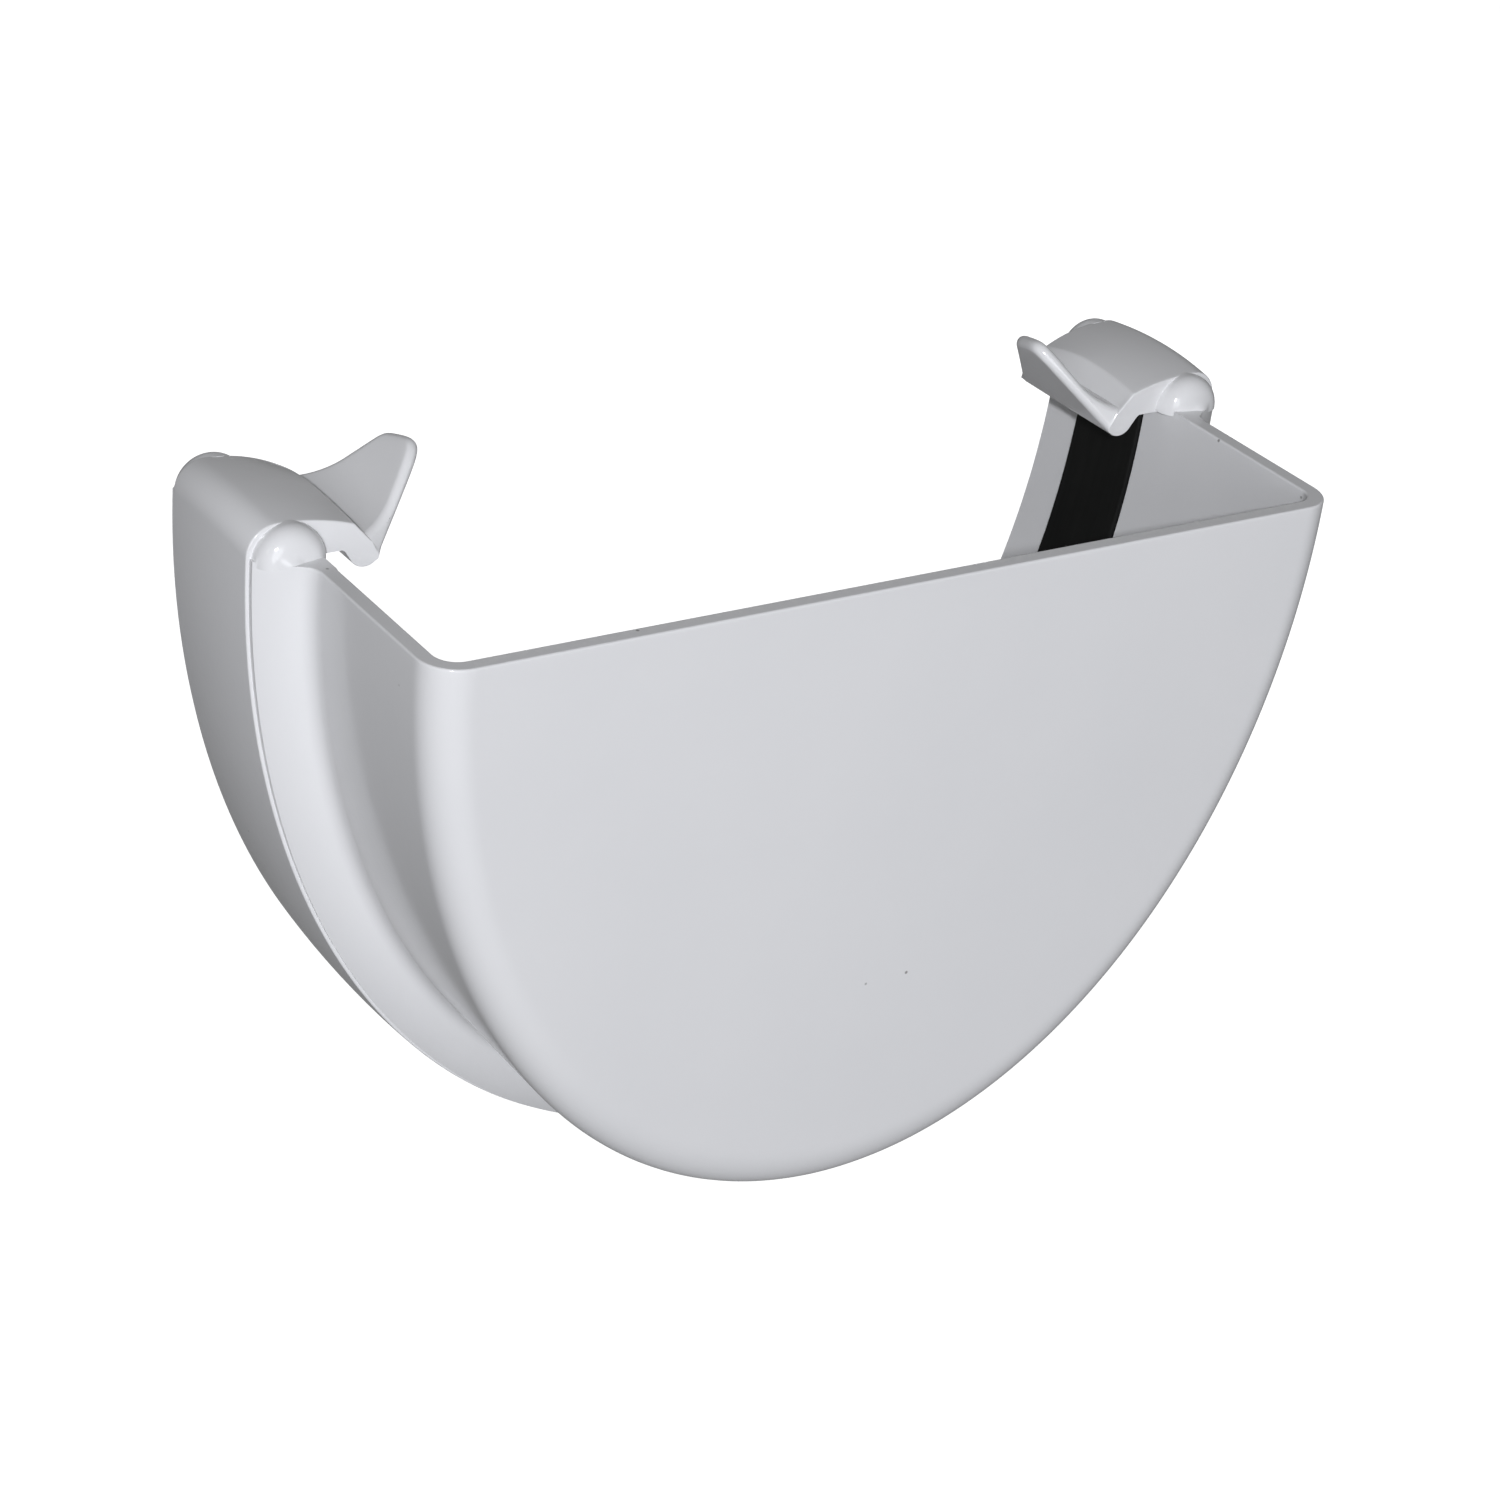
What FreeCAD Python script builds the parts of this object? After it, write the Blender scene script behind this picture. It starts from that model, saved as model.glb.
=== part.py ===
import FreeCAD, Part
import math
import os

from FreeCAD import Vector

# External stop end for a deep half-elliptical plastic gutter, in millimetres.
# X runs across the gutter, Y back from the face of the end plate, Z up from the rim.

# Gutter that slides in, and the room round it
gutter_width = 115.0
side_clearance = 0.5
socket_depth = 77.5
cap_length = 53.1

# Shell
wall_thickness = 2.0
plate_thickness = 2.0
plate_edge_radius = 4.5
mouth_chamfer = 0.8

# Raised strap round the socket, with a sloped shoulder in front of it and behind it
strap_front = 31.15
strap_width = 18.2
strap_rise = 6.2
strap_step = 0.8
strap_edge_chamfer = 0.45
shoulder_length = 5.3

# Domes that close the top of each shoulder
dome_radius = 3.8
dome_depth = 2.9
dome_outset = 3.1
dome_drop = 0.7

# Rubber seal and the groove that holds it
seal_width = 12.0
groove_depth = 4.2
seal_clearance = 0.1
seal_proud = 0.5

# Snap clip: roof, hook under the roof, and the notch behind the hook
clip_height = 4.15
roof_crown = 0.5
clip_corner_radius = 3.5
roof_length = 9.6
roof_fall = 1.65
crest_radius = 0.9
underside_drop = 0.9
rim_slot = 3.4
nose_radius = 2.0
nose_reach = 6.3
nose_drop = 3.35
notch_reach = 6.35
notch_height = 0.18
notch_step = 0.1

# Lever fin that rises inwards from the hook
fin_angle = 50.5
fin_thickness = 1.75
fin_length = 11.1
fin_setback = 1.67
fin_root_length = 4.85
fin_lean = 28.0
fin_top_width = 5.2
fin_top_fall = 1.1
fin_back_length = 9.2
fin_back_hollow = 0.35
fin_front_corner = 1.7
fin_back_corner = 0.8
fin_edge_chamfer = 0.4

# Radii and depths that follow from the sizes above
socket_radius = gutter_width / 2 + side_clearance
wall_radius = socket_radius + wall_thickness
wall_depth = socket_depth + wall_thickness
strap_radius = wall_radius + strap_rise
strap_back = strap_front + strap_width
strap_middle = strap_front + strap_width / 2
groove_radius = socket_radius + groove_depth
outer_ratio = wall_depth / wall_radius
socket_ratio = socket_depth / socket_radius
past_edge = 5.0


def line(start, end):
    return Part.LineSegment(start, end).toShape()


def arc(start, through, end):
    return Part.Arc(start, through, end).toShape()


def polyline(points):
    return [line(a, b) for a, b in zip(points, points[1:])]


def polar(centre, radius, degrees, plane):
    """Point on a circle whose plane is given by two unit vectors."""
    angle = math.radians(degrees)
    return centre + plane[0] * (radius * math.cos(angle)) + plane[1] * (radius * math.sin(angle))


def half_bowl(profile, ratio):
    """Turn a section about the gutter's axis, stretch it to the gutter's depth, keep the part below the rim."""
    turned = Part.Face(Part.Wire(profile)).revolve(Vector(0, 0, 0), Vector(0, 1, 0), 360)
    stretch = FreeCAD.Matrix()
    stretch.scale(Vector(1, 1, ratio))
    bowl = turned.transformGeometry(stretch)
    width = 2 * (strap_radius + past_edge)
    above = Part.makeBox(width, cap_length + 2 * past_edge, wall_depth * 2)
    above.translate(Vector(-width / 2, -past_edge, 0))
    return bowl.cut(above)


def shell_profile():
    """Half section of the closed outside: plate, wall, front shoulder, strap, rear shoulder, mouth."""
    round_off = plate_edge_radius
    plane = (Vector(1, 0, 0), Vector(0, -1, 0))
    corner = Vector(wall_radius - round_off, round_off, 0)
    front_foot = Vector(wall_radius, strap_front - shoulder_length, 0)
    back_foot = Vector(wall_radius, strap_back + shoulder_length, 0)
    edges = [line(Vector(0, 0, 0), polar(corner, round_off, 90, plane))]
    edges.append(arc(polar(corner, round_off, 90, plane), polar(corner, round_off, 45, plane),
                     polar(corner, round_off, 0, plane)))
    edges.append(line(polar(corner, round_off, 0, plane), front_foot))
    edges.append(line(front_foot, Vector(strap_radius - strap_step, strap_front, 0)))
    edges += strap_edges()
    edges.append(line(Vector(strap_radius - strap_step, strap_back, 0), back_foot))
    edges.append(line(back_foot, Vector(0, back_foot.y, 0)))
    edges.append(line(Vector(0, back_foot.y, 0), Vector(0, 0, 0)))
    return edges


def strap_edges():
    """Outside of the strap from the front crease to the rear crease, with eased edges."""
    crease = strap_radius - strap_step
    eased = strap_radius - strap_edge_chamfer
    return polyline([
        Vector(crease, strap_front, 0),
        Vector(eased, strap_front, 0),
        Vector(strap_radius, strap_front + strap_edge_chamfer, 0),
        Vector(strap_radius, strap_back - strap_edge_chamfer, 0),
        Vector(eased, strap_back, 0),
        Vector(crease, strap_back, 0),
    ])


def cavity_profile():
    """Half section of the inside: eased where it meets the plate, opened out at the mouth."""
    inner_ease = plate_edge_radius - wall_thickness
    lip = Vector(socket_radius, cap_length - mouth_chamfer, 0)
    flare = Vector(socket_radius + mouth_chamfer + past_edge, cap_length + past_edge, 0)
    start = Vector(0, plate_thickness, 0)
    return polyline([
        start,
        Vector(socket_radius - inner_ease, plate_thickness, 0),
        Vector(socket_radius, plate_thickness + inner_ease, 0),
        lip,
        flare,
        Vector(0, flare.y, 0),
        start,
    ])


def band_profile(radius, front, back):
    """Half section of a plain drum between two stations on the gutter's axis."""
    return polyline([Vector(0, front, 0), Vector(radius, front, 0), Vector(radius, back, 0),
                     Vector(0, back, 0), Vector(0, front, 0)])


def shell():
    """Plate, wall, strap and shoulders in one moulding, hollowed out and grooved for the seal."""
    outside = half_bowl(shell_profile(), outer_ratio)
    width = 2 * (strap_radius + past_edge)
    tail = Part.makeBox(width, strap_width, 2 * wall_depth)
    tail.translate(Vector(-width / 2, cap_length, -2 * wall_depth))
    outside = outside.cut(tail)
    groove_front = strap_middle - seal_width / 2
    groove_back = strap_middle + seal_width / 2
    groove = half_bowl(band_profile(groove_radius, groove_front, groove_back), outer_ratio)
    return outside.cut(half_bowl(cavity_profile(), socket_ratio)).cut(groove)


def tangent_point(point, centre, radius, side):
    """Where the line from a point touches a circle in the XZ plane, on the given side."""
    offset = point - centre
    spread = math.acos(radius / offset.Length)
    angle = math.atan2(offset.z, offset.x) + side * spread
    return centre + Vector(radius * math.cos(angle), 0, radius * math.sin(angle))


def fin_axes():
    """Unit vectors up the fin and out of its upper face, on the right-hand clip."""
    slope = math.radians(fin_angle)
    up = Vector(-math.cos(slope), 0, math.sin(slope))
    out = Vector(math.sin(slope), 0, math.cos(slope))
    return up, out


def hook_points():
    """Points that the roof, the hook and the fin share, in the plane of the strap's front edge."""
    up, out = fin_axes()
    notch = Vector(socket_radius - notch_reach, strap_front, notch_height)
    nose = Vector(socket_radius - nose_reach, strap_front, nose_radius - nose_drop)
    tip_upper = notch + up * fin_length - out * fin_setback
    tip_under = tip_upper - out * fin_thickness
    heel = Vector(socket_radius - rim_slot, strap_front, -underside_drop)
    return {
        "notch": notch,
        "nose": nose,
        "tip_upper": tip_upper,
        "tip_under": tip_under,
        "heel": heel,
        "nose_in": tangent_point(tip_under, nose, nose_radius, 1),
        "nose_out": tangent_point(heel, nose, nose_radius, -1),
    }


def clip_roof(points):
    """Roof over the gutter's rim: its section swung about a far axis, so that it is crowned along the strap."""
    y = strap_middle
    low = -underside_drop / 2
    foot = -2 * clip_height
    corner = Vector(strap_radius - clip_corner_radius, y, clip_height - clip_corner_radius)
    plane = (Vector(1, 0, 0), Vector(0, 0, 1))
    roof_start = polar(corner, clip_corner_radius, 90, plane)
    roof_radius = (roof_length ** 2 + roof_fall ** 2) / (2 * roof_fall)
    roof_turn = math.degrees(2 * math.atan2(roof_fall, roof_length))
    roof_centre = roof_start - Vector(0, 0, roof_radius)
    inward = (Vector(0, 0, 1), Vector(-1, 0, 0))
    roof_middle = polar(roof_centre, roof_radius, roof_turn / 2, inward)
    roof_end = polar(roof_centre, roof_radius, roof_turn, inward)
    notch = Vector(points["notch"].x, y, points["notch"].z - notch_step)
    slope_foot = notch + (notch - roof_end).normalize() * (2 * roof_crown)
    edges = [
        arc(polar(corner, clip_corner_radius, 0, plane), polar(corner, clip_corner_radius, 45, plane), roof_start),
        arc(roof_start, roof_middle, roof_end),
    ]
    edges += polyline([roof_end, slope_foot, Vector(slope_foot.x, y, foot), Vector(strap_radius, y, foot),
                       polar(corner, clip_corner_radius, 0, plane)])
    crown_radius = ((strap_width / 2) ** 2 + roof_crown ** 2) / (2 * roof_crown)
    pivot = Vector(0, y, clip_height - crown_radius)
    swing = 1.3 * math.degrees(math.asin(strap_width / 2 / crown_radius))
    section = Part.Face(Part.Wire(edges))
    section.rotate(pivot, Vector(1, 0, 0), -swing)
    swept = section.revolve(pivot, Vector(1, 0, 0), 2 * swing)
    root = (groove_radius + strap_radius) / 2
    over_rim = Part.makeBox(strap_radius + past_edge, strap_width, 2 * clip_height, Vector(0, strap_front, 0))
    over_hook = Part.makeBox(root, strap_width, 2 * clip_height, Vector(0, strap_front, low))
    roof = swept.common(over_rim.fuse(over_hook)).removeSplitter().Solids[0]
    crest = roof.makeFillet(crest_radius, crest_edges(roof, roof_end))
    return crest.makeChamfer(strap_edge_chamfer, roof_rim_edges(crest))


def clip_hook(points):
    """Rounded hook below the roof, that the gutter's rim snaps over."""
    root = (groove_radius + strap_radius) / 2
    deep = points["notch"] + Vector(crest_radius, 0, -underside_drop / 2 - notch_height)
    nose_low = points["nose"] - Vector(0, 0, nose_radius)
    bed = Vector(root, strap_front, deep.z / 2)
    edges = polyline([bed, deep, points["notch"], points["nose_in"]])
    edges.append(arc(points["nose_in"], nose_low, points["nose_out"]))
    edges += polyline([points["nose_out"], points["heel"], Vector(root, strap_front, -underside_drop), bed])
    return Part.Face(Part.Wire(edges)).extrude(Vector(0, strap_width, 0))


def crest_edges(solid, crest):
    """The edge where the roof turns down to the notch."""
    found = []
    for edge in solid.Edges:
        middle = edge.valueAt((edge.FirstParameter + edge.LastParameter) / 2)
        along = edge.BoundBox.YLength > strap_width / 2
        if along and math.hypot(middle.x - crest.x, middle.z - crest.z) < 1e-3:
            found.append(edge)
    return found


def roof_rim_edges(solid):
    """Front and rear edges of the roof, from the rim over the top and down to the notch."""
    found = []
    for edge in solid.Edges:
        box = edge.BoundBox
        flat = box.YLength < 1e-6
        tall = box.ZMax > notch_height + roof_crown
        if flat and tall and box.XMax > socket_radius - notch_reach + crest_radius / 2:
            found.append(edge)
    return found


def fin_plate(points):
    """Lever fin: a thin plate that grows out of the hook and is cut to a leaning, round-cornered tab."""
    up, out = fin_axes()
    notch = points["notch"]
    root_top = points["tip_upper"] - up * (fin_length - fin_root_length)
    chord = root_top - notch
    hollow = chord.Length / 2 * math.tan((math.radians(fin_angle) - math.atan2(chord.z, -chord.x)) / 2)
    root_middle = (notch + root_top) * 0.5 + Vector(-chord.z, 0, chord.x).normalize() * hollow
    inside = (notch + points["nose"]) * 0.5
    section = [
        arc(notch, root_middle, root_top),
        line(root_top, points["tip_upper"]),
        line(points["tip_upper"], points["tip_under"]),
        line(points["tip_under"], points["nose_in"]),
        line(points["nose_in"], inside),
        line(inside, notch),
    ]
    plate = Part.Face(Part.Wire(section)).extrude(Vector(0, strap_width, 0))
    tab = plate.common(fin_outline(notch, up, out))
    return tab.makeChamfer(fin_edge_chamfer, fin_rim_edges(tab, points, up, out))


def fin_outline(notch, up, out):
    """Prism square to the fin with the outline of the tab: leaning front, short top, hollow back."""
    ahead = Vector(0, 1, 0)
    lean = math.tan(math.radians(fin_lean))
    deep = nose_drop + nose_radius

    def at(along, height):
        return notch + ahead * along + up * height

    front_top = at(lean * fin_length, fin_length)
    back_top = at(lean * fin_length + fin_top_width, fin_length - fin_top_fall)
    back_low = at(strap_width, fin_length - fin_top_fall - fin_back_length)
    chord = back_low - back_top
    inward = chord.cross(out).normalize()
    back_middle = (back_top + back_low) * 0.5 + inward * fin_back_hollow
    outline = [
        line(at(0, -deep), at(0, 0)),
        line(at(0, 0), front_top),
        line(front_top, back_top),
        arc(back_top, back_middle, back_low),
        line(back_low, at(strap_width, -deep)),
        line(at(strap_width, -deep), at(0, -deep)),
    ]
    reach = fin_length
    prism = Part.Face(Part.Wire(outline)).extrude(out * (2 * reach))
    prism.translate(out * -reach)
    prism = prism.makeFillet(fin_front_corner, edges_through(prism, front_top, out))
    return prism.makeFillet(fin_back_corner, edges_through(prism, back_top, out))


def edges_through(solid, point, direction):
    """Straight edges of a prism that run through a point in the given direction."""
    found = []
    for edge in solid.Edges:
        ends = [vertex.Point for vertex in edge.Vertexes]
        if len(ends) == 2 and all((end - point).cross(direction).Length < 1e-6 for end in ends):
            found.append(edge)
    return found


def fin_rim_edges(tab, points, up, out):
    """Edges round the free outline of the tab, on its upper and its under face."""
    found = []
    for edge in tab.Edges:
        middle = edge.valueAt((edge.FirstParameter + edge.LastParameter) / 2)
        offset = middle - points["tip_upper"]
        above_root = (middle - points["notch"]).dot(up) > fin_root_length
        on_upper = abs(offset.dot(out)) < 1e-6
        on_under = abs((middle - points["tip_under"]).cross(points["nose_in"] - points["tip_under"]).dot(
            Vector(0, 1, 0))) < 1e-6
        sideways = edge.BoundBox.YLength > 1e-6
        if above_root and sideways and (on_upper or on_under):
            found.append(edge)
    return found


def dome(face_y, run):
    """Upper half of a ball's cap, that closes the top of a shoulder against the clip."""
    ball_radius = (dome_radius ** 2 + dome_depth ** 2) / (2 * dome_depth)
    rest = Vector(socket_radius + dome_outset, face_y, -dome_drop)
    ball = Part.makeSphere(ball_radius, rest + Vector(0, run * (ball_radius - dome_depth), 0))
    size = 4 * dome_radius
    above = Part.makeBox(size, size, size)
    above.translate(rest - Vector(size / 2, size if run > 0 else 0, 0))
    return ball.common(above)


def mirrored(shape):
    return shape.mirror(Vector(0, 0, 0), Vector(1, 0, 0))


def stop_end_body():
    """The whole moulding: shell, a clip with its fin on each side, and four domes."""
    points = hook_points()
    right = [clip_roof(points), clip_hook(points), fin_plate(points), dome(strap_front, 1), dome(strap_back, -1)]
    left = [mirrored(piece) for piece in right]
    body = shell().fuse(right + left).removeSplitter()
    return body.Solids[0]


def gutter_seal():
    """Rubber strip that lies in the groove and stands a little proud of the socket's wall."""
    front = strap_middle - seal_width / 2 + seal_clearance
    back = strap_middle + seal_width / 2 - seal_clearance
    outside = half_bowl(band_profile(groove_radius - seal_clearance, front, back), outer_ratio)
    face_radius = socket_radius - seal_proud
    face_ratio = (socket_depth - seal_proud) / face_radius
    inside = half_bowl(band_profile(face_radius, front - past_edge, back + past_edge), face_ratio)
    strip = outside.cut(inside)
    width = 2 * (strap_radius + past_edge)
    above = Part.makeBox(width, cap_length, wall_depth)
    above.translate(Vector(-width / 2, 0, -underside_drop - seal_clearance))
    return strip.cut(above).Solids[0]


os.makedirs("parts", exist_ok=True)
for name, piece in (("stop_end_body", stop_end_body()), ("gutter_seal", gutter_seal())):
    piece.exportStep("parts/" + name + ".step")
    print(name, piece.isValid(), round(piece.Volume, 1), piece.BoundBox)
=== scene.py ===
import math
import bmesh
import bpy
from mathutils import Matrix, Vector


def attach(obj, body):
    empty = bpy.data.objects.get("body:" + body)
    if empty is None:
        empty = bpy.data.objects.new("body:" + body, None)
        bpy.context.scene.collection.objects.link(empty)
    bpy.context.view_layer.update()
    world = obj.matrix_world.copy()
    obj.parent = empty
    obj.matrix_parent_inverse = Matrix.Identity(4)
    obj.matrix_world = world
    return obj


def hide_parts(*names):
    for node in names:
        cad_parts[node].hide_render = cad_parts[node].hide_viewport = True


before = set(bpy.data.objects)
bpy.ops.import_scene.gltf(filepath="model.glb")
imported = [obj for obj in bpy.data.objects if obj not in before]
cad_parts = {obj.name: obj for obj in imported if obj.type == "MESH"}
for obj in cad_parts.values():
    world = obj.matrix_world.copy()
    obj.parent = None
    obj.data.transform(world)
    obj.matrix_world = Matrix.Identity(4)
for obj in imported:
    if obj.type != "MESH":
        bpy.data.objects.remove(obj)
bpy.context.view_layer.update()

# Moulded body: end plate, half-elliptical wall, shoulders and strap
# White glossy rigid plastic, injection moulded in one shot with the clips and the domes below.
# The section is carried round the socket; sizes are in millimetres and become metres at the end.
MM = 0.001
SOCKET_RADIUS = 58.0
SOCKET_DEPTH = 77.5
WALL = 2.0
WALL_RADIUS = SOCKET_RADIUS + WALL
OUTER_STRETCH = (SOCKET_DEPTH + WALL) / WALL_RADIUS
SOCKET_STRETCH = SOCKET_DEPTH / SOCKET_RADIUS
PLATE_ROUND = 4.5
CAP_LENGTH = 53.1
STRAP_FRONT = 31.15
STRAP_WIDTH = 18.2
STRAP_BACK = STRAP_FRONT + STRAP_WIDTH
STRAP_MIDDLE = STRAP_FRONT + STRAP_WIDTH / 2
STRAP_EDGE = 65.95
STRAP_CROWN = 0.3
STRAP_ROUND = 0.2
CREASE_RADIUS = 65.62
CREASE_LAND = 0.85
CREASE_DIP = 0.05
SHOULDER_LENGTH = 6.0
SHOULDER_FILLET = 2.6
SHOULDER_LEAD = 25.0
GROOVE_RADIUS = 62.2
SEAL_WIDTH = 12.0
MOUTH_CHAMFER = 0.8
MOUTH_TRIM = 0.05
INNER_LEDGE = 0.06
LEDGE_FRONT = 25.3
LEDGE_BACK = 25.9
RIM_ROUND = 0.28
RIM_ROUND_ANGLE = 0.8
RIM_ROUND_END = STRAP_FRONT - SHOULDER_LENGTH + 1.9
PLATE_STEPS = (0.0, 14.0, 28.0, 40.0, 49.0, 54.0, 55.2)
WALL_STEPS = (5.0, 8.0, 12.0, 16.0, 20.0, 23.5, 24.8)
INNER_WALL_STEPS = (22.0, 15.0, 8.0, 5.2)
INNER_PLATE_STEPS = (54.6, 50.0, 40.0, 28.0, 14.0, 0.0)
STATIONS = 168
MERGE_DISTANCE = 1e-7


def arc_points(centre, radius, start, end, count):
    """Points on a circle from one angle to another, both ends included."""
    points = []
    for step in range(count + 1):
        angle = math.radians(start + (end - start) * step / count)
        points.append((centre[0] + radius * math.cos(angle), centre[1] + radius * math.sin(angle)))
    return points


def shoulder_points():
    """Front shoulder from the wall to the crease: a fillet, a gently crowned slope and a narrow land."""
    foot = STRAP_FRONT - SHOULDER_LENGTH
    fillet = arc_points((WALL_RADIUS + SHOULDER_FILLET, foot), SHOULDER_FILLET, 180, 90 + SHOULDER_LEAD, 10)
    spring = fillet[-1]
    crest = (CREASE_RADIUS, STRAP_FRONT - CREASE_LAND)
    chord = (crest[0] - spring[0], crest[1] - spring[1])
    swing = math.atan2(chord[1], chord[0]) - math.radians(SHOULDER_LEAD)
    radius = math.hypot(*chord) / (2 * math.sin(swing))
    lead = math.radians(SHOULDER_LEAD)
    centre = (spring[0] - radius * math.sin(lead), spring[1] + radius * math.cos(lead))
    start = SHOULDER_LEAD - 90
    slope = arc_points(centre, radius, start, start + math.degrees(2 * swing), 12)[1:]
    land = [(CREASE_RADIUS, STRAP_FRONT - CREASE_LAND / 2), (CREASE_RADIUS - CREASE_DIP, STRAP_FRONT)]
    return fillet + slope + land


def strap_points():
    """Strap from the front crease to the rear crease: rounded edges and a slightly crowned outside."""
    front = arc_points((STRAP_EDGE - STRAP_ROUND, STRAP_FRONT + STRAP_ROUND), STRAP_ROUND, -90, 0, 6)
    half = STRAP_WIDTH / 2 - STRAP_ROUND
    radius = (half ** 2 + STRAP_CROWN ** 2) / (2 * STRAP_CROWN)
    spread = math.degrees(math.asin(half / radius))
    centre = (STRAP_EDGE + STRAP_CROWN - radius, STRAP_MIDDLE)
    crown = arc_points(centre, radius, -spread, spread, 44)
    back = [(r, 2 * STRAP_MIDDLE - y) for r, y in reversed(front)]
    return front + crown[1:-1] + back


def shell_section():
    """Closed half section as (radius, length, stretch): out along the plate, over the strap, back inside."""
    outer = [(r, 0.0) for r in PLATE_STEPS]
    outer += arc_points((WALL_RADIUS - PLATE_ROUND, PLATE_ROUND), PLATE_ROUND, -90, 0, 14)
    outer += [(WALL_RADIUS, y) for y in WALL_STEPS]
    front = shoulder_points()
    outer += front + strap_points()
    mirrored = [(r, 2 * STRAP_MIDDLE - y) for r, y in reversed(front)]
    back = [(r, y) for r, y in mirrored if y < CAP_LENGTH - MOUTH_TRIM]
    outer += back + [(back[-1][0] - MOUTH_TRIM, CAP_LENGTH)]
    groove_back = STRAP_MIDDLE + SEAL_WIDTH / 2
    groove_front = STRAP_MIDDLE - SEAL_WIDTH / 2
    mouth = [(SOCKET_RADIUS + MOUTH_CHAMFER, CAP_LENGTH), (SOCKET_RADIUS, CAP_LENGTH - MOUTH_CHAMFER),
             (SOCKET_RADIUS, 49.0), (SOCKET_RADIUS, groove_back)]
    groove = [(GROOVE_RADIUS, groove_back), (GROOVE_RADIUS, groove_front)]
    lip = SOCKET_RADIUS - INNER_LEDGE
    inside = [(SOCKET_RADIUS, y) for y in (groove_front, 33.0, 29.0, LEDGE_BACK)]
    inside += [(lip, y) for y in (LEDGE_FRONT,) + INNER_WALL_STEPS]
    inner_round = PLATE_ROUND - WALL
    inside += arc_points((lip - inner_round, WALL + inner_round), inner_round, 0, -90, 10)
    inside += [(r, WALL) for r in INNER_PLATE_STEPS]
    section = [(r, y, OUTER_STRETCH) for r, y in outer]
    section += [(r, y, SOCKET_STRETCH) for r, y in mouth]
    section += [(r, y, OUTER_STRETCH) for r, y in groove]
    return section + [(r, y, SOCKET_STRETCH) for r, y in inside]


def add_rings(mesh, rings, closed_ends):
    """Skin a list of equal closed rings; points that coincide are merged by the caller."""
    made = [[mesh.verts.new(Vector(point) * MM) for point in ring] for ring in rings]
    count = len(made[0])
    for ring, after in zip(made, made[1:]):
        for i in range(count):
            k = (i + 1) % count
            mesh.faces.new((ring[i], ring[k], after[k], after[i]))
    if closed_ends:
        mesh.faces.new(list(reversed(made[0])))
        mesh.faces.new(made[-1])


def shell_mesh():
    """The socket with its plate, open at the mouth and along the rim."""
    section = shell_section()
    rings = []
    for step in range(STATIONS + 1):
        turn = math.pi * step / STATIONS
        rings.append([(r * math.cos(turn), y, -r * stretch * math.sin(turn)) for r, y, stretch in section])
    mesh = bmesh.new()
    add_rings(mesh, rings, True)
    bmesh.ops.remove_doubles(mesh, verts=mesh.verts, dist=MERGE_DISTANCE)
    bmesh.ops.recalc_face_normals(mesh, faces=mesh.faces)
    limit = RIM_ROUND_END * MM
    rim = [e for e in mesh.edges if all(abs(v.co.z) < MERGE_DISTANCE and v.co.y < limit for v in e.verts)
           and len(e.link_faces) == 2 and e.calc_face_angle() > RIM_ROUND_ANGLE]
    bmesh.ops.bevel(mesh, geom=rim, offset=RIM_ROUND * MM, segments=3, profile=0.5, affect="EDGES",
                    clamp_overlap=False)
    return mesh


# Snap clips, one at each end of the strap
# Moulded with the body: a crowned roof over the gutter's rim, a rounded hook below it and a lever fin.
# The section across the strap changes along it: the roof falls to both edges and the fin leans back.
CLIP_HEIGHT = 4.15
ROOF_CROWN = 0.6
ROOF_BACK_FALL = 0.9
CLIP_CORNER = 3.5
ROOF_LENGTH = 9.6
ROOF_FALL = 1.65
ROOF_SHARE = 0.94
CREST_ROUND = 0.9
UNDERSIDE = -0.9
CLIP_ROOT = 64.2
HEEL_X = SOCKET_RADIUS - 3.7
HEEL_EASE = ((-0.12, -0.25), (0.2, 0.0))
SLOT_END = SOCKET_RADIUS - 0.5
NOSE_ROUND = 2.0
NOSE_TURN = 30
NOSE_FADE = 1.7
NOSE_INSET = 0.7
NOSE = (SOCKET_RADIUS - 6.3, -1.35)
NOTCH = (SOCKET_RADIUS - 6.35, 0.18)
NOTCH_INSET = (0.6, 0.4)
FIN_ANGLE = math.radians(50.5)
FIN_UP = (-math.cos(FIN_ANGLE), math.sin(FIN_ANGLE))
FIN_OUT = (math.sin(FIN_ANGLE), math.cos(FIN_ANGLE))
FIN_LENGTH = 11.8
FIN_THICK = 1.75
FIN_SETBACK = 1.67
FIN_ROOT = 4.85
FIN_LEAN = math.radians(26.5)
FIN_TOP_WIDTH = 5.6
FIN_TOP_FALL = 1.8
FIN_FRONT_FOOT = -0.6
FIN_BACK_FOOT = -0.9
FIN_HOLLOW = 0.1
FIN_EDGE = 0.8
FIN_FRONT_ROUND = 1.6
FIN_BACK_ROUND = 0.45
FIN_UNDER_LEAST = 0.1
SLANT_STEP = 0.05


def on_fin(along, out):
    """Point at a distance up the fin from the notch and a distance out of the line of its upper face."""
    return (NOTCH[0] + FIN_UP[0] * along + FIN_OUT[0] * out, NOTCH[1] + FIN_UP[1] * along + FIN_OUT[1] * out)


def tangent_on_nose(point, side):
    """Where a line from a point touches the round of the hook's nose."""
    dx, dz = point[0] - NOSE[0], point[1] - NOSE[1]
    angle = math.atan2(dz, dx) + side * math.acos(NOSE_ROUND / math.hypot(dx, dz))
    return math.degrees(angle)


def soft_least(first, second, softness):
    """The smaller of two values, with the corner where they cross rounded off."""
    return -softness * math.log(math.exp(-first / softness) + math.exp(-second / softness))


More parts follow.
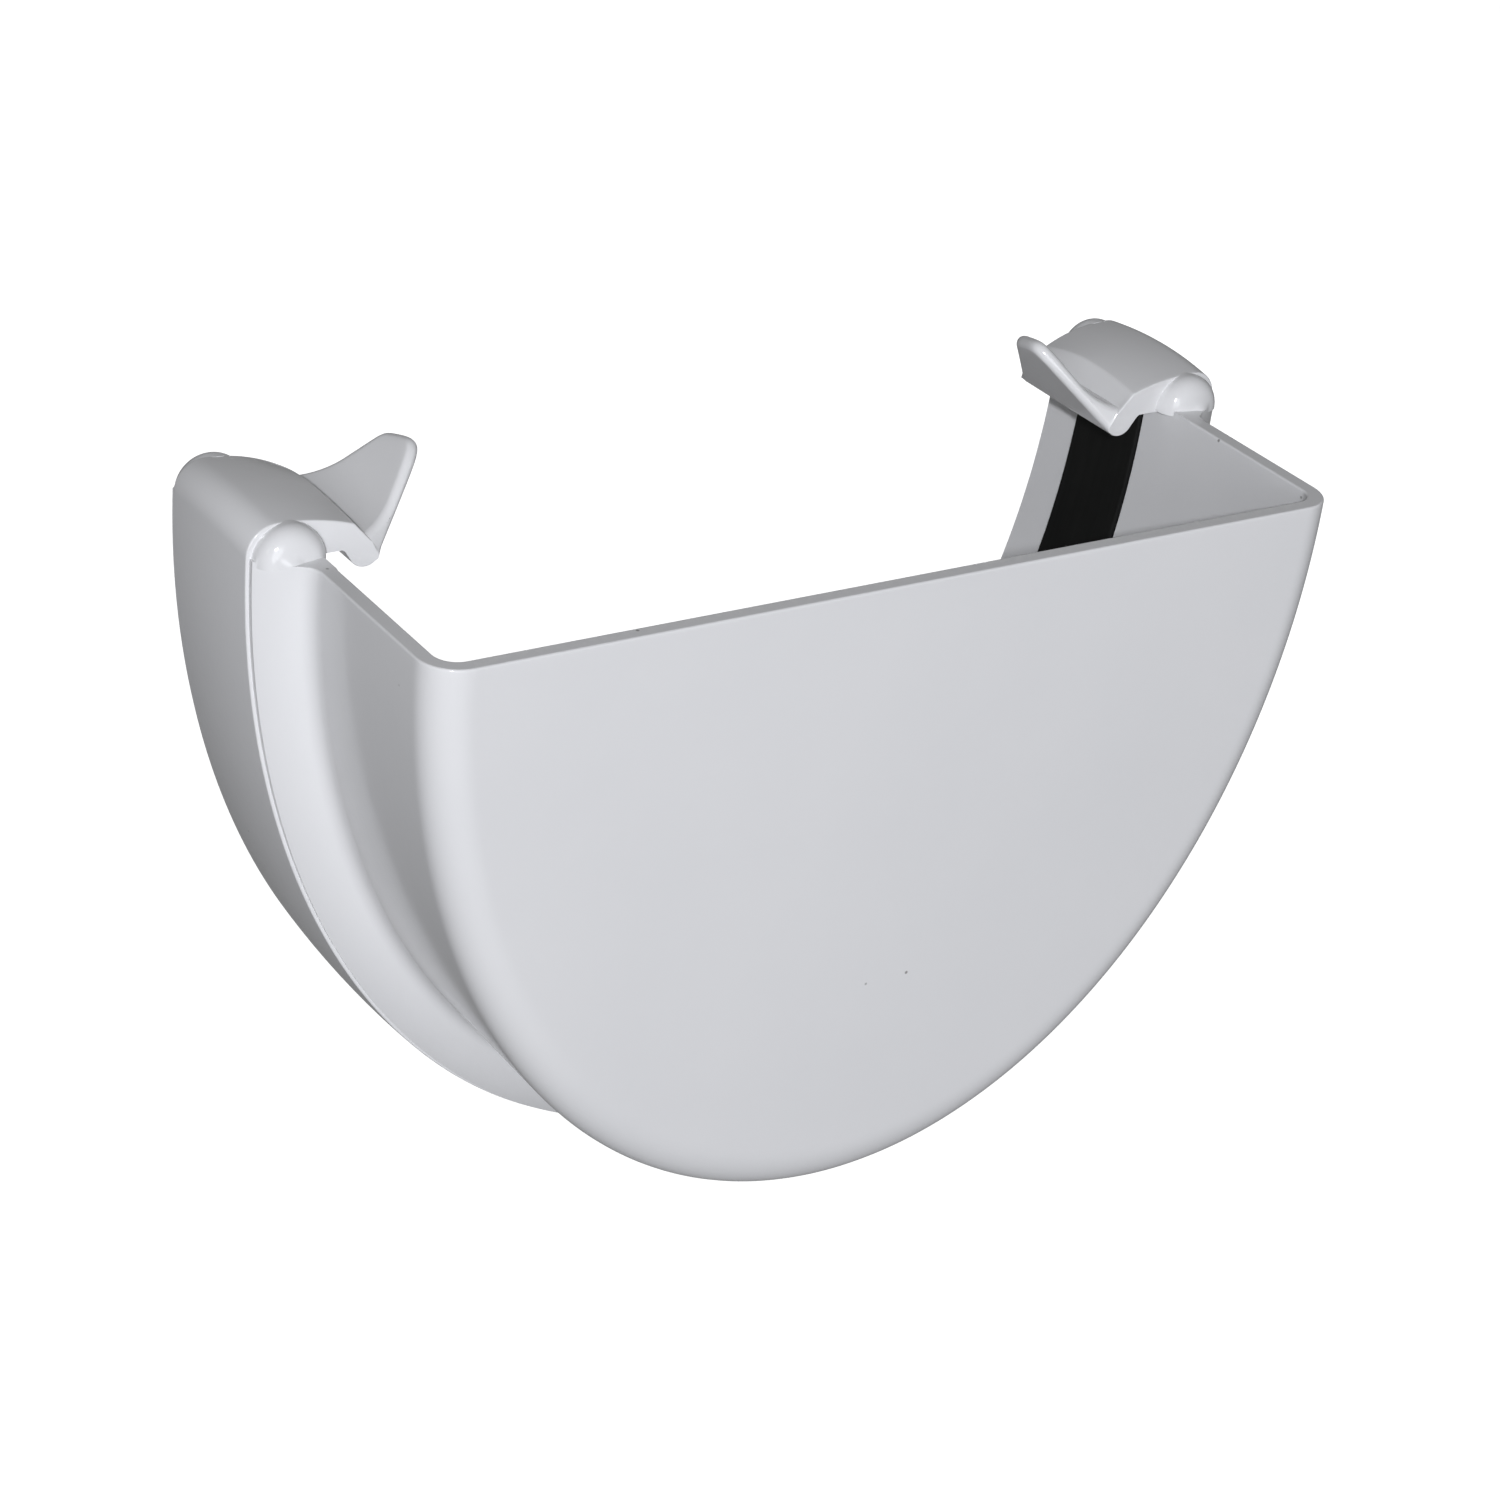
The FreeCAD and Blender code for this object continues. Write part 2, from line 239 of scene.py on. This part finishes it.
def fin_height(y):
    """How far up the fin reaches at a station along the strap: leaning front, short top, hollow back."""
    along = y - STRAP_FRONT
    top_front = math.tan(FIN_LEAN) * (FIN_LENGTH - FIN_FRONT_FOOT)
    top_back = top_front + FIN_TOP_WIDTH
    front = FIN_FRONT_FOOT + along / math.tan(FIN_LEAN)
    top = FIN_LENGTH - FIN_TOP_FALL * (along - top_front) / FIN_TOP_WIDTH
    share = (along - top_back) / (STRAP_WIDTH - top_back)
    drop = FIN_LENGTH - FIN_TOP_FALL - FIN_BACK_FOOT
    back = FIN_LENGTH - FIN_TOP_FALL - drop * share - 4 * FIN_HOLLOW * share * (1 - share)
    ahead = soft_least(front, top, FIN_FRONT_ROUND)
    return soft_least(ahead, back, FIN_BACK_ROUND)


def upper_out(along):
    """Offset of the fin's upper face: a hollow curve out of the notch, then straight."""
    if along >= FIN_ROOT:
        return -FIN_SETBACK
    radius = (FIN_ROOT ** 2 + FIN_SETBACK ** 2) / (2 * FIN_SETBACK)
    return -FIN_SETBACK + radius - math.sqrt(radius ** 2 - (FIN_ROOT - along) ** 2)


def clip_section(y, edge_radius):
    """Closed section of the right-hand clip at one station; edge_radius is the strap's radius there."""
    inset = max(0.0, STRAP_EDGE - edge_radius)
    outside = edge_radius + inset
    share = (y - STRAP_MIDDLE) / (STRAP_WIDTH / 2)
    crown = ROOF_CROWN * share ** 2
    fall = ROOF_FALL + ROOF_BACK_FALL * max(0.0, share) ** 2
    height = CLIP_HEIGHT - crown
    corner = (outside - CLIP_CORNER, height - CLIP_CORNER)
    points = [(CLIP_ROOT, UNDERSIDE), (CLIP_ROOT, 0.0), (edge_radius, 0.0), (edge_radius, corner[1] * 0.5)]
    points += arc_points(corner, CLIP_CORNER - inset, 0, 90, 14)
    roof_radius = (ROOF_LENGTH ** 2 + fall ** 2) / (2 * fall)
    roof_centre = (corner[0], height - roof_radius)
    roof_turn = math.degrees(2 * math.atan2(fall, ROOF_LENGTH))
    turn_start = 90 + roof_turn * ROOF_SHARE
    roof = arc_points(roof_centre, roof_radius - inset, 90, turn_start, 14)
    points += roof[1:]
    slope = math.atan2(height - fall - NOTCH[1], roof_centre[0] - ROOF_LENGTH - NOTCH[0])
    turn_end = 90 + math.degrees(slope)
    last = roof[-1]
    centre = (last[0] - (CREST_ROUND - inset) * math.cos(math.radians(turn_start)),
              last[1] - (CREST_ROUND - inset) * math.sin(math.radians(turn_start)))
    crest = arc_points(centre, CREST_ROUND - inset, turn_start, turn_end, 8)[1:]
    points += crest
    reach = fin_height(y)
    tip = max(0.0, reach)
    slant = (fin_height(y + SLANT_STEP) - fin_height(y - SLANT_STEP)) / (2 * SLANT_STEP)
    rim = FIN_EDGE * math.hypot(1.0, slant)
    first = math.asin(max(0.0, min(1.0, (rim - tip) / rim)))
    sink = FIN_EDGE * (1 - math.cos(first))
    notch = on_fin(0.0, -sink)
    foot = (notch[0] + inset * NOTCH_INSET[0], notch[1] - inset * NOTCH_INSET[1])
    points += [(crest[-1][0] + (foot[0] - crest[-1][0]) * s, crest[-1][1] + (foot[1] - crest[-1][1]) * s)
               for s in (0.33, 0.66, 1.0)]
    tip_under = on_fin(FIN_LENGTH, -FIN_SETBACK - FIN_THICK)
    nose_in = tangent_on_nose(tip_under, 1)
    nose_point = arc_points(NOSE, NOSE_ROUND, nose_in, nose_in, 1)[0]
    start = (nose_point[0] - NOTCH[0]) * FIN_UP[0] + (nose_point[1] - NOTCH[1]) * FIN_UP[1]
    start_out = (nose_point[0] - NOTCH[0]) * FIN_OUT[0] + (nose_point[1] - NOTCH[1]) * FIN_OUT[1]

    def under_out(along):
        share = (along - start) / (FIN_LENGTH - start)
        return start_out + (-FIN_SETBACK - FIN_THICK - start_out) * share

    for step in range(1, 13):
        along = max(0.0, tip - rim) * step / 12
        points.append(on_fin(along, upper_out(along) - sink))
    under_tip = max(start + FIN_UNDER_LEAST, reach)
    under_soft = min(rim, under_tip - start - FIN_UNDER_LEAST / 2)
    low = under_out(under_tip - under_soft)
    for step in range(1, 6):
        angle = first + (math.pi / 2 - first) * step / 5
        along = tip - rim + rim * math.sin(angle)
        points.append(on_fin(along, upper_out(max(0.0, along)) - FIN_EDGE * (1 - math.cos(angle))))
    for step in range(0, 6):
        angle = math.radians(18 * step)
        along = under_tip - under_soft + under_soft * math.cos(angle)
        points.append(on_fin(along, low + FIN_EDGE - FIN_EDGE * math.sin(angle)))
    nose_start = nose_in + NOSE_TURN * max(0.0, min(1.0, (FIN_EDGE - reach) / NOSE_FADE))
    nose_radius = NOSE_ROUND - inset * NOSE_INSET
    last = points[-1]
    target = arc_points(NOSE, nose_radius, nose_start, nose_start, 1)[0]
    run = (target[0] - last[0], target[1] - last[1])
    for step in range(1, 12):
        points.append((last[0] + run[0] * step / 12, last[1] + run[1] * step / 12))
    nose_out = tangent_on_nose((HEEL_X, UNDERSIDE), -1)
    points += arc_points(NOSE, nose_radius, nose_start, nose_out + 360 * (nose_out < nose_in), 16)
    points += [(HEEL_X + dx, UNDERSIDE + dz) for dx, dz in HEEL_EASE] + [(SLOT_END, UNDERSIDE)]
    return [(x, y, z) for x, z in points]


def clip_mesh():
    """One clip, skinned along the strap and closed at both ends."""
    mesh = bmesh.new()
    add_rings(mesh, [clip_section(y, r) for r, y in strap_points()], True)
    bmesh.ops.remove_doubles(mesh, verts=mesh.verts, dist=MERGE_DISTANCE)
    bmesh.ops.recalc_face_normals(mesh, faces=mesh.faces)
    return mesh


# Domes that close the ends of the shoulders
# Moulded with the body: a round-fronted half button against each end of the clip, in front and behind.
# The foot of each one spreads out to the shoulder's outline, with a fine lip along the parting line.
DOME_RADIUS = 4.2
DOME_DEPTH = 2.95
DOME_ROUND = 2.3
DOME_X = SOCKET_RADIUS + 3.2
DOME_Z = -0.6
DOME_LIP = 0.04
DOME_STRAIGHT = 0.12
DOME_FOOT = 0.05
DOME_SINK = 0.4
DOME_STEPS = 56
SKIRT_HEIGHT = 1.4
SKIRT_END = 60.4
SKIRT_EASE = 2.2
SKIRT_OVER = 0.01


def button_depth(distance):
    """How far the button stands forward at a distance from its axis: a flat cap with a rounded edge."""
    straight = DOME_DEPTH * DOME_STRAIGHT
    reach = DOME_RADIUS - DOME_ROUND
    rise = DOME_DEPTH - straight
    cap = (rise ** 2 + reach ** 2 - DOME_ROUND ** 2) / (2 * (rise - DOME_ROUND))
    if distance < reach * cap / (cap - DOME_ROUND):
        return DOME_DEPTH - cap + math.sqrt(cap ** 2 - distance ** 2)
    return straight + math.sqrt(max(0.0, DOME_ROUND ** 2 - (distance - reach) ** 2))


def shoulder_depth(outward):
    """How far the shoulder stands forward of the clip's face at a distance out from the gutter's axis."""
    outline = [(r, STRAP_FRONT - y) for r, y in shoulder_points()]
    for (r0, d0), (r1, d1) in zip(outline, outline[1:]):
        if r0 <= outward <= r1 and r1 > r0:
            return d0 + (d1 - d0) * (outward - r0) / (r1 - r0)
    return 0.0


def dome_mesh(face_y, run):
    """Half button skinned from foot to top, spread out at its foot to where the shoulder stands forward."""
    rings = []
    for level in range(-1, 23):
        turn = math.radians(4.0 * max(0, level))
        height = DOME_RADIUS * math.sin(turn)
        spread = max(0.0, min(1.0, (SKIRT_HEIGHT - height) / (SKIRT_HEIGHT + DOME_Z)))
        ring = []
        for k in range(DOME_STEPS + 1):
            offset = DOME_RADIUS * math.cos(math.pi * k / DOME_STEPS)
            x = DOME_X + offset * math.cos(turn)
            depth = button_depth(math.hypot(offset * math.cos(turn), height)) + DOME_LIP
            ease = max(0.0, min(1.0, (x - SKIRT_END) / SKIRT_EASE))
            ease = ease * ease * (3 - 2 * ease)
            depth += spread * ease * max(0.0, shoulder_depth(x) - depth + SKIRT_OVER)
            ring.append((x, face_y - run * depth, DOME_Z + height - DOME_FOOT * (level < 0)))
        ring += [(end[0], face_y + run * DOME_SINK, end[2]) for end in (ring[-1], ring[0])]
        rings.append(ring)
    mesh = bmesh.new()
    add_rings(mesh, rings, True)
    bmesh.ops.remove_doubles(mesh, verts=mesh.verts, dist=MERGE_DISTANCE)
    bmesh.ops.recalc_face_normals(mesh, faces=mesh.faces)
    return mesh


def add_to(target, mesh, mirror):
    """Copy a mesh into the body, on the left as well where it is one of a pair."""
    for side in ((1, -1) if mirror else (1,)):
        copied = {}
        for vert in mesh.verts:
            copied[vert] = target.verts.new((vert.co.x * side, vert.co.y, vert.co.z))
        for face in mesh.faces:
            loop = [copied[vert] for vert in face.verts]
            target.faces.new(loop if side == 1 else list(reversed(loop)))
    mesh.free()


def smooth_object(name, mesh, sharp_angle):
    """Finish a mesh as a smooth-shaded object whose flat faces stay flat up to their rounded edges."""
    mesh.normal_update()
    for face in mesh.faces:
        face.smooth = True
    for edge in mesh.edges:
        edge.smooth = len(edge.link_faces) == 2 and edge.calc_face_angle() < sharp_angle
    data = bpy.data.meshes.new(name)
    mesh.to_mesh(data)
    mesh.free()
    obj = bpy.data.objects.new(name, data)
    bpy.context.scene.collection.objects.link(obj)
    weigh = obj.modifiers.new("flat faces", "WEIGHTED_NORMAL")
    weigh.keep_sharp = True
    weigh.weight = 60
    return obj


body_mesh = bmesh.new()
add_to(body_mesh, shell_mesh(), False)
add_to(body_mesh, clip_mesh(), True)
add_to(body_mesh, dome_mesh(STRAP_FRONT, 1), True)
add_to(body_mesh, dome_mesh(STRAP_BACK, -1), True)
body = smooth_object("stop_end_moulding", body_mesh, math.radians(38))


def new_material(name):
    """Empty material with its node tree, shader and object coordinates."""
    material = bpy.data.materials.new(name)
    material.use_nodes = True
    tree = material.node_tree
    shader = tree.nodes["Principled BSDF"]
    where = tree.nodes.new("ShaderNodeTexCoord").outputs["Object"]
    return material, tree, shader, where


def noise(tree, where, scale, detail, rough):
    """Noise texture on the object's own coordinates."""
    node = tree.nodes.new("ShaderNodeTexNoise")
    node.inputs["Scale"].default_value = scale
    node.inputs["Detail"].default_value = detail
    node.inputs["Roughness"].default_value = rough
    tree.links.new(where, node.inputs["Vector"])
    return node.outputs["Fac"]


def remap(tree, value, low, high, to_low, to_high):
    """Clamped change of range."""
    node = tree.nodes.new("ShaderNodeMapRange")
    for socket, number in zip(("From Min", "From Max", "To Min", "To Max"), (low, high, to_low, to_high)):
        node.inputs[socket].default_value = number
    tree.links.new(value, node.inputs["Value"])
    return node.outputs["Result"]


def combine(tree, operation, first, second):
    """Arithmetic on two values, either of which may be a number."""
    node = tree.nodes.new("ShaderNodeMath")
    node.operation = operation
    for socket, value in zip(node.inputs, (first, second)):
        if isinstance(value, (int, float)):
            socket.default_value = value
        else:
            tree.links.new(value, socket)
    return node.outputs[0]


def mix_colour(tree, share, first, second):
    """Blend of two colours, either of which may be a fixed one."""
    node = tree.nodes.new("ShaderNodeMix")
    node.data_type = "RGBA"
    tree.links.new(share, node.inputs["Factor"])
    for socket, value in zip((node.inputs[6], node.inputs[7]), (first, second)):
        if isinstance(value, tuple):
            socket.default_value = value + (1.0,)
        else:
            tree.links.new(value, socket)
    return node.outputs[2]


def white_plastic():
    """White moulded plastic: faint cloudiness, a few dark specks, convex edges painted paler as a highlight,
    soft gloss.
    """
    material, tree, shader, where = new_material("white_rigid_plastic")
    cloud = noise(tree, where, scale=38.0, detail=3.0, rough=0.5)
    fine = noise(tree, where, scale=900.0, detail=2.0, rough=0.6)
    cloudy = remap(tree, cloud, 0.1, 0.9, 0.0, 1.0)
    tint = mix_colour(tree, cloudy, (0.80, 0.805, 0.815), (0.84, 0.842, 0.848))
    cells = tree.nodes.new("ShaderNodeTexVoronoi")
    cells.inputs["Scale"].default_value = 170.0
    tree.links.new(where, cells.inputs["Vector"])
    pick = tree.nodes.new("ShaderNodeSeparateColor")
    tree.links.new(cells.outputs["Color"], pick.inputs["Color"])
    near = remap(tree, cells.outputs["Distance"], 0.02, 0.045, 1.0, 0.0)
    chosen = combine(tree, "GREATER_THAN", pick.outputs["Red"], 0.82)
    speck = combine(tree, "MULTIPLY", combine(tree, "MULTIPLY", near, chosen), 0.75)
    marked = mix_colour(tree, speck, tint, (0.16, 0.15, 0.14))
    # Painted highlight: convex edges, found by pointiness, are painted paler in noisy patches, standing in
    # for light catching the rounded edges.
    bend = tree.nodes.new("ShaderNodeNewGeometry").outputs["Pointiness"]
    edge = remap(tree, bend, 0.53, 0.6, 0.0, 1.0)
    painted_edge_highlight = combine(tree, "MULTIPLY", edge, remap(tree, fine, 0.45, 0.6, 0.0, 0.6))
    colour = mix_colour(tree, painted_edge_highlight, marked, (0.88, 0.88, 0.88))
    tree.links.new(colour, shader.inputs["Base Color"])
    tree.links.new(remap(tree, cloud, 0.1, 0.9, 0.11, 0.16), shader.inputs["Roughness"])
    shader.inputs["IOR"].default_value = 1.5
    bump = tree.nodes.new("ShaderNodeBump")
    bump.inputs["Strength"].default_value = 0.04
    bump.inputs["Distance"].default_value = 0.0002
    tree.links.new(fine, bump.inputs["Height"])
    tree.links.new(bump.outputs["Normal"], shader.inputs["Normal"])
    return material


body.data.materials.append(white_plastic())
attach(body, "root")
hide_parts("stop_end_body")


# Rubber seal in its groove under the strap
# Black rubber strip, extruded and pushed into the groove; it stands a little proud of the socket's wall.
# A rounded section follows the half ellipse of the groove from clip to clip.
SEAL_GAP = 0.1
SEAL_PROUD = 0.5
SEAL_EDGE = 0.45
SEAL_END = UNDERSIDE - SEAL_GAP


def seal_mesh():
    """Strip with eased edges, carried round the groove and cut level under the clips."""
    inner = SOCKET_RADIUS - SEAL_PROUD
    outer = GROOVE_RADIUS - SEAL_GAP
    front = STRAP_MIDDLE - SEAL_WIDTH / 2 + SEAL_GAP
    back = STRAP_MIDDLE + SEAL_WIDTH / 2 - SEAL_GAP
    inner_stretch = (SOCKET_DEPTH - SEAL_PROUD) / inner
    face = arc_points((inner + SEAL_EDGE, front + SEAL_EDGE), SEAL_EDGE, 270, 180, 5)
    face += [(inner, front + (back - front) * k / 12) for k in range(1, 12)]
    face += arc_points((inner + SEAL_EDGE, back - SEAL_EDGE), SEAL_EDGE, 180, 90, 5)
    section = [(r, y, inner_stretch) for r, y in face]
    section += [(outer, back, OUTER_STRETCH), (outer, front, OUTER_STRETCH)]
    rings = []
    for step in range(STATIONS + 1):
        turn = math.pi * step / STATIONS
        rings.append([(r * math.cos(turn), y, min(SEAL_END, -r * stretch * math.sin(turn)))
                      for r, y, stretch in section])
    mesh = bmesh.new()
    add_rings(mesh, rings, True)
    bmesh.ops.recalc_face_normals(mesh, faces=mesh.faces)
    return mesh


def black_rubber():
    """Black rubber with a faint dusty bloom and fine lengthways drag marks."""
    material, tree, shader, where = new_material("black_seal_rubber")
    stretch = tree.nodes.new("ShaderNodeMapping")
    stretch.inputs["Scale"].default_value = (0.25, 4.0, 0.25)
    tree.links.new(where, stretch.inputs["Vector"])
    drag = noise(tree, stretch.outputs["Vector"], scale=260.0, detail=3.0, rough=0.6)
    bloom = noise(tree, where, scale=120.0, detail=4.0, rough=0.6)
    dusty = remap(tree, combine(tree, "MULTIPLY", drag, bloom), 0.1, 0.45, 0.0, 1.0)
    colour = mix_colour(tree, dusty, (0.004, 0.0042, 0.004), (0.0095, 0.0098, 0.0092))
    tree.links.new(colour, shader.inputs["Base Color"])
    tree.links.new(remap(tree, bloom, 0.3, 0.7, 0.5, 0.62), shader.inputs["Roughness"])
    shader.inputs["Specular IOR Level"].default_value = 0.2
    bump = tree.nodes.new("ShaderNodeBump")
    bump.inputs["Strength"].default_value = 0.15
    bump.inputs["Distance"].default_value = 0.0002
    tree.links.new(drag, bump.inputs["Height"])
    tree.links.new(bump.outputs["Normal"], shader.inputs["Normal"])
    return material


seal = smooth_object("rubber_seal_strip", seal_mesh(), math.radians(38))
seal.data.materials.append(black_rubber())
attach(seal, "root")
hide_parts("gutter_seal")


# Floor, surroundings and light
# A pale floor well below the part and a dim even room, both plain white to the camera, with a small lamp
# by the camera, a broad one in front, and a soft low one behind that lights the inside and the back.
VIEW_FROM = Vector((-222.17, -281.19, 167.37)) * MM
VIEW_AT = Vector((-5.553, 20.87, -30.16)) * MM
VIEW_ROLL = math.radians(6.429)
VIEW_LENS = 87.18
ROOM_LIGHT = 0.08
LAMP_COLOUR = (0.95, 0.96, 1.0)
GLOSS_SHARE = 0.12
FLOOR_REACH = 4.0
FLOOR_LEVEL = -0.3
FLOOR_WHITE = 0.99
back_way = (VIEW_FROM - VIEW_AT).normalized()
level_right = Vector((0, 0, 1)).cross(back_way).normalized()
level_up = back_way.cross(level_right)
right_way = level_right * math.cos(VIEW_ROLL) + level_up * math.sin(VIEW_ROLL)
up_way = level_up * math.cos(VIEW_ROLL) - level_right * math.sin(VIEW_ROLL)
facing = Matrix((right_way, up_way, back_way)).transposed().to_4x4()


def seen(tree):
    """One for the camera's rays, a small share for rays that gloss or glass send on, zero for all others."""
    path = tree.nodes.new("ShaderNodeLightPath")
    sent_on = combine(tree, "MAXIMUM", path.outputs["Is Glossy Ray"], path.outputs["Is Transmission Ray"])
    share = combine(tree, "MULTIPLY", sent_on, GLOSS_SHARE)
    return combine(tree, "MAXIMUM", path.outputs["Is Camera Ray"], share)


floor_data = bpy.data.meshes.new("floor")
corners = [(x * FLOOR_REACH, y * FLOOR_REACH, FLOOR_LEVEL) for x, y in ((-1, -1), (1, -1), (1, 1), (-1, 1))]
floor_data.from_pydata(corners, [], [(0, 1, 2, 3)])
floor = bpy.data.objects.new("floor", floor_data)
bpy.context.scene.collection.objects.link(floor)
paper, paper_tree, paper_shader = new_material("pale_floor")[:3]
paper_shader.inputs["Base Color"].default_value = (0.2, 0.2, 0.2, 1.0)
paper_shader.inputs["Roughness"].default_value = 0.9
glow = paper_tree.nodes.new("ShaderNodeEmission")
paper_tree.links.new(combine(paper_tree, "MULTIPLY", seen(paper_tree), FLOOR_WHITE), glow.inputs["Strength"])
paper_sum = paper_tree.nodes.new("ShaderNodeAddShader")
paper_tree.links.new(paper_shader.outputs[0], paper_sum.inputs[0])
paper_tree.links.new(glow.outputs[0], paper_sum.inputs[1])
paper_tree.links.new(paper_sum.outputs[0], paper_tree.nodes["Material Output"].inputs["Surface"])
floor_data.materials.append(paper)

world = bpy.data.worlds.new("room")
world.use_nodes = True
room_tree = world.node_tree
room = room_tree.nodes["Background"]
room.inputs["Color"].default_value = (1.0, 0.985, 0.95, 1.0)
room.inputs["Strength"].default_value = ROOM_LIGHT
white = room_tree.nodes.new("ShaderNodeBackground")
choose = room_tree.nodes.new("ShaderNodeMixShader")
white.inputs["Color"].default_value = (1.0, 1.0, 1.0, 1.0)
room_tree.links.new(seen(room_tree), choose.inputs["Fac"])
room_tree.links.new(room.outputs[0], choose.inputs[1])
room_tree.links.new(white.outputs[0], choose.inputs[2])
room_tree.links.new(choose.outputs[0], room_tree.nodes["World Output"].inputs["Surface"])
bpy.context.scene.world = world


def add_lamp(name, turn, height, distance, size, power, glints):
    """Round lamp aimed at the part, set by turn and height in degrees; glints is whether gloss shows it."""
    turn, height = math.radians(turn), math.radians(height)
    way = Vector((-math.sin(turn) * math.cos(height), -math.cos(turn) * math.cos(height), math.sin(height)))
    data = bpy.data.lights.new(name, "AREA")
    data.shape = "DISK"
    data.size = size
    data.energy = power
    data.color = LAMP_COLOUR
    obj = bpy.data.objects.new(name, data)
    obj.matrix_world = (Matrix.Translation(VIEW_AT + way * distance)
                        @ way.to_track_quat("Z", "Y").to_matrix().to_4x4())
    obj.visible_glossy = glints
    bpy.context.scene.collection.objects.link(obj)


add_lamp("key_lamp", turn=35.0, height=27.0, distance=1.0, size=0.05, power=6.2, glints=True)
add_lamp("front_lamp", turn=22.0, height=9.0, distance=1.27, size=0.8, power=4.7, glints=True)
add_lamp("back_lamp", turn=215.0, height=3.0, distance=1.27, size=0.5, power=7.5, glints=False)

# Camera at the photograph's viewing angle
camera_data = bpy.data.cameras.new("camera")
camera_data.lens = VIEW_LENS
camera_data.sensor_width = 36.0
camera_data.clip_start = 0.01
camera = bpy.data.objects.new("camera", camera_data)
camera.matrix_world = Matrix.Translation(VIEW_FROM) @ facing
bpy.context.scene.collection.objects.link(camera)
bpy.context.scene.camera = camera
bpy.context.scene.view_settings.view_transform = "Standard"
